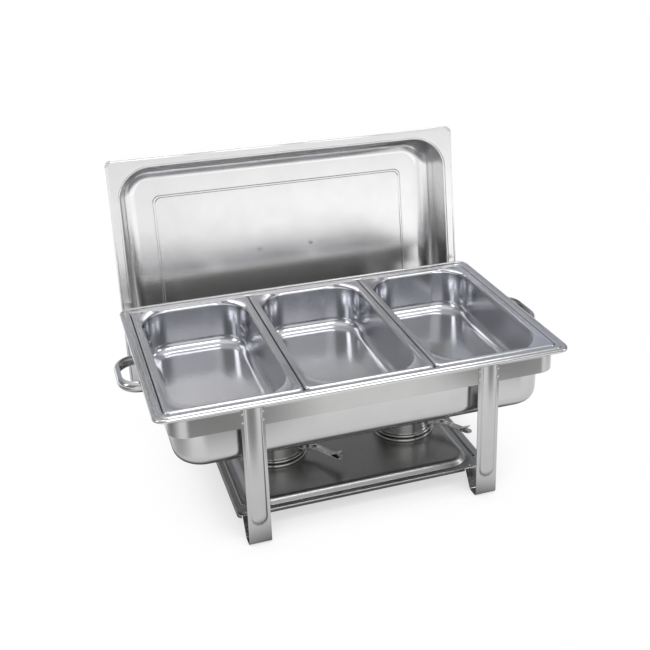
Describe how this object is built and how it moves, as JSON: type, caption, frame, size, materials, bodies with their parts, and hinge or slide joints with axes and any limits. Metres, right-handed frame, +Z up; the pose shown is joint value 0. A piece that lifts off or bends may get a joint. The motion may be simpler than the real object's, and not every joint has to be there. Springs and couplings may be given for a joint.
{
  "type": "chafing dish food warmer",
  "caption": "Rectangular stainless food warmer: strip-leg stand with shelf and fuel burners, water pan, lift-out food pans and a domed cover standing on rests behind.",
  "frame": {"origin": "on the table under the middle of the whole object's bounding box", "axes": "+Z up, +X to the right seen from the front, the front faces -Y"},
  "size_m": [0.612, 0.483, 0.4217],
  "materials": {
    "leg": "satin",
    "band": "satin",
    "shelf": "polished",
    "handle": "polished",
    "cover_rest": "satin",
    "water_pan": "polished",
    "food_pan": "satin",
    "cover": "satin brushed",
    "cover_handle": "polished",
    "burner": "polished",
    "shutter": "polished",
    "rivet": "polished"
  },
  "bodies": {
    "stand": {"frame_band": "band", "leg_front_left": "leg", "leg_front_right": "leg", "leg_rear_left": "leg", "leg_rear_right": "leg", "leg_rivets": "rivet", "shelf": "shelf", "shelf_rivets": "rivet", "side_handle_left": "handle", "side_handle_right": "handle", "side_handle_rivets": "rivet", "lid_rest_left": "cover_rest", "lid_rest_right": "cover_rest", "lid_rest_rivets": "rivet"},
    "water_pan": {"water_pan": "water_pan"},
    "food_pan_left": {"food_pan_left": "food_pan"},
    "food_pan_middle": {"food_pan_middle": "food_pan"},
    "food_pan_right": {"food_pan_right": "food_pan"},
    "cover": {"lid_shell": "cover", "lid_handle": "cover_handle", "lid_handle_rivets": "rivet"},
    "burner_left": {"fuel_cup_left": "burner"},
    "burner_cover_left": {"burner_cover_left": "burner", "lever_pivot_left": "rivet"},
    "shutter_left": {"shutter_left": "shutter"},
    "burner_right": {"fuel_cup_right": "burner"},
    "burner_cover_right": {"burner_cover_right": "burner", "lever_pivot_right": "rivet"},
    "shutter_right": {"shutter_right": "shutter"}
  },
  "joints": [
    {"name": "water_pan_lift", "type": "slide", "parent": "stand", "child": "water_pan", "axis": [0, 0, 1], "range_m": [0, 0.12]},
    {"name": "food_pan_left_lift", "type": "slide", "parent": "water_pan", "child": "food_pan_left", "axis": [0, 0, 1], "range_m": [0, 0.08]},
    {"name": "food_pan_middle_lift", "type": "slide", "parent": "water_pan", "child": "food_pan_middle", "axis": [0, 0, 1], "range_m": [0, 0.08]},
    {"name": "food_pan_right_lift", "type": "slide", "parent": "water_pan", "child": "food_pan_right", "axis": [0, 0, 1], "range_m": [0, 0.08]},
    {"name": "cover_lift", "type": "slide", "parent": "stand", "child": "cover", "axis": [0, 0.1245, 0.9922], "range_m": [0, 0.15]},
    {"name": "burner_left_lift", "type": "slide", "parent": "stand", "child": "burner_left", "axis": [0, 0, 1], "range_m": [0, 0.03]},
    {"name": "burner_cover_left_lift", "type": "slide", "parent": "burner_left", "child": "burner_cover_left", "axis": [0, 0, 1], "range_m": [0, 0.036]},
    {"name": "shutter_left_swing", "type": "hinge", "parent": "burner_cover_left", "child": "shutter_left", "pos_m": [-0.048, -0.10547, 0.0478], "axis": [0, 0, 1], "range_deg": [-95, 0]},
    {"name": "burner_right_lift", "type": "slide", "parent": "stand", "child": "burner_right", "axis": [0, 0, 1], "range_m": [0, 0.03]},
    {"name": "burner_cover_right_lift", "type": "slide", "parent": "burner_right", "child": "burner_cover_right", "axis": [0, 0, 1], "range_m": [0, 0.036]},
    {"name": "shutter_right_swing", "type": "hinge", "parent": "burner_cover_right", "child": "shutter_right", "pos_m": [0.148, -0.10547, 0.0478], "axis": [0, 0, 1], "range_deg": [-95, 0]}
  ]
}
